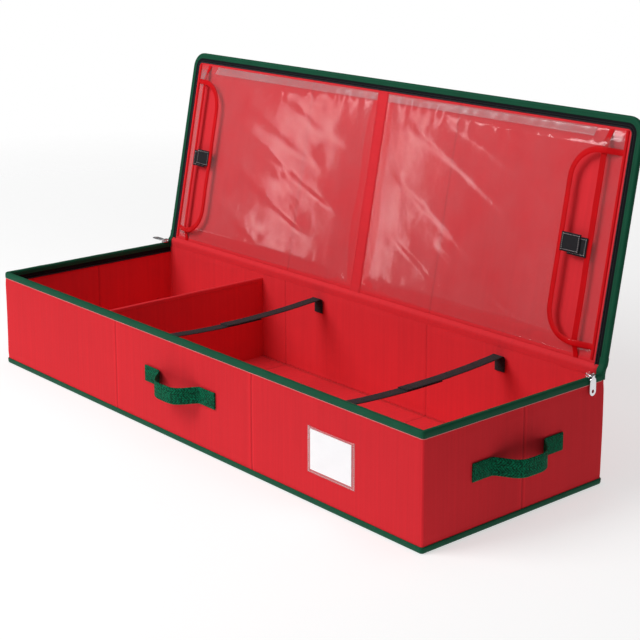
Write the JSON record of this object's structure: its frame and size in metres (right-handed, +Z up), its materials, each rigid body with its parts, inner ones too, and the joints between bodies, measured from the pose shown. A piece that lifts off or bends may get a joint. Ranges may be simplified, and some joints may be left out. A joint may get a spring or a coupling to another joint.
{
  "type": "gift wrap organizer",
  "caption": "Long red cloth storage box for gift wrap, its zipped lid open with two clear pockets, green binding and webbing handles, a divider, hold-down straps and a label sleeve.",
  "frame": {"origin": "middle of the box's underside, on the surface it stands on", "axes": "+X along the box's length to the right of someone facing the open box, +Y to the hinge side, +Z up"},
  "size_m": [1.1049, 0.4612, 0.5187],
  "materials": {
    "red_cloth": "plain woven cloth, matt",
    "red_lining": "plain woven cloth, slight sheen",
    "stiffener_board": "hidden fibreboard",
    "green_binding": "ribbed edge binding",
    "green_webbing": "woven webbing",
    "black_zip_tape": "coil zip tape",
    "black_webbing": "woven webbing",
    "clear_film": "clear flexible vinyl",
    "red_tape": "satin binding tape",
    "hook_and_loop": "napped hook-and-loop",
    "zip_metal": "polished plating",
    "white_card": "blank card"
  },
  "bodies": {
    "box": {"base_cloth": "red_cloth", "outer_shell": "red_cloth", "hinge_strip": "red_cloth", "divider_cover": "red_cloth", "inner_lining": "red_lining", "base_board_1": "stiffener_board", "base_board_2": "stiffener_board", "base_board_3": "stiffener_board", "front_board_1": "stiffener_board", "front_board_2": "stiffener_board", "front_board_3": "stiffener_board", "back_board_1": "stiffener_board", "back_board_2": "stiffener_board", "back_board_3": "stiffener_board", "left_board_1": "stiffener_board", "left_board_2": "stiffener_board", "right_board_1": "stiffener_board", "right_board_2": "stiffener_board", "divider_board": "stiffener_board", "rim_binding_front": "green_binding", "rim_binding_left": "green_binding", "rim_binding_right": "green_binding", "base_binding_front": "green_binding", "base_binding_back": "green_binding", "base_binding_left": "green_binding", "base_binding_right": "green_binding", "front_handle": "green_webbing", "left_handle": "green_webbing", "right_handle": "green_webbing", "box_zip_tape": "black_zip_tape", "left_strap_front": "black_webbing", "left_strap_back": "black_webbing", "right_strap_front": "black_webbing", "right_strap_back": "black_webbing", "label_sleeve": "clear_film"},
    "lid": {"lid_cover": "red_cloth", "lid_lining": "red_lining", "lid_board_1": "stiffener_board", "lid_board_2": "stiffener_board", "lid_board_3": "stiffener_board", "lid_binding": "green_binding", "lid_zip_tape": "black_zip_tape", "lid_centre_band": "red_tape", "left_pocket_film": "clear_film", "left_pocket_lip": "clear_film", "left_mouth_tape": "red_tape", "left_lip_tape": "red_tape", "left_closure_tab": "hook_and_loop", "left_closure_patch": "hook_and_loop", "right_pocket_film": "clear_film", "right_pocket_lip": "clear_film", "right_mouth_tape": "red_tape", "right_lip_tape": "red_tape", "right_closure_tab": "hook_and_loop", "right_closure_patch": "hook_and_loop"},
    "right_slider": {"right_zip_slider": "zip_metal"},
    "left_slider": {"left_zip_slider": "zip_metal"},
    "right_pull": {"right_zip_pull": "zip_metal"},
    "left_pull": {"left_zip_pull": "zip_metal"},
    "label_card": {"label_card": "white_card"}
  },
  "joints": [
    {"name": "lid_hinge", "type": "hinge", "parent": "box", "child": "lid", "pos_m": [0, 0.1752, 0.171], "axis": [1, 0, 0], "range_deg": [0, 101]},
    {"name": "right_zip_travel", "type": "slide", "parent": "box", "child": "right_slider", "axis": [0, -1, 0], "range_m": [0, 0.296]},
    {"name": "left_zip_travel", "type": "slide", "parent": "box", "child": "left_slider", "axis": [0, -1, 0], "range_m": [0, 0.31]},
    {"name": "right_pull_swing", "type": "hinge", "parent": "right_slider", "child": "right_pull", "pos_m": [0.5236, 0.148, 0.168], "axis": [0, 1, 0], "range_deg": [-150, 0]},
    {"name": "left_pull_swing", "type": "hinge", "parent": "left_slider", "child": "left_pull", "pos_m": [-0.5236, 0.162, 0.168], "axis": [0, 1, 0], "range_deg": [-90, 60]},
    {"name": "card_travel", "type": "slide", "parent": "box", "child": "label_card", "axis": [0, 0, 1], "range_m": [0, 0.06]}
  ]
}
